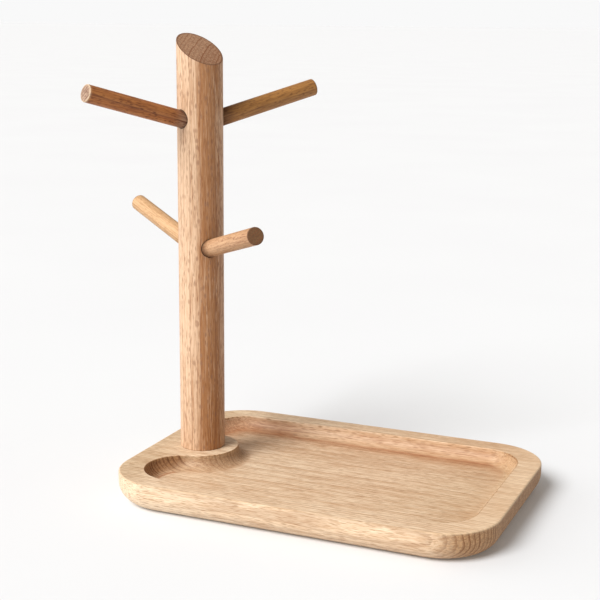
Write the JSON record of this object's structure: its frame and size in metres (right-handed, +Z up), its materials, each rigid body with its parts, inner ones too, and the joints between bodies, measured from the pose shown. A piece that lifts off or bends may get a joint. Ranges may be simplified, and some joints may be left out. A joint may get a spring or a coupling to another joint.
{
  "type": "mug tree",
  "caption": "Wooden mug tree: an upright round post with a slant-cut top and upward-tilted round pegs, standing at one end of a rounded rectangular tray with a shallow milled recess",
  "frame": {"origin": "middle of the flat underside of the tray, where it rests", "axes": "+Z up, +X along the tray from the post end to the open end, +Y across the tray, away from the side seen in the picture"},
  "size_m": [0.3171, 0.186, 0.3156],
  "materials": {
    "beech_board": "satin oiled beech, grain along the tray",
    "beech_post": "satin oiled beech, grain along the post",
    "beech_peg": "satin oiled beech dowel, grain along the peg",
    "screw_steel": "zinc plated"
  },
  "bodies": {
    "root": {"tray": "beech_board", "post": "beech_post", "upper_left_peg": "beech_peg", "upper_right_peg": "beech_peg", "lower_left_peg": "beech_peg", "lower_right_peg": "beech_peg", "post_screw": "screw_steel"}
  },
  "joints": []
}
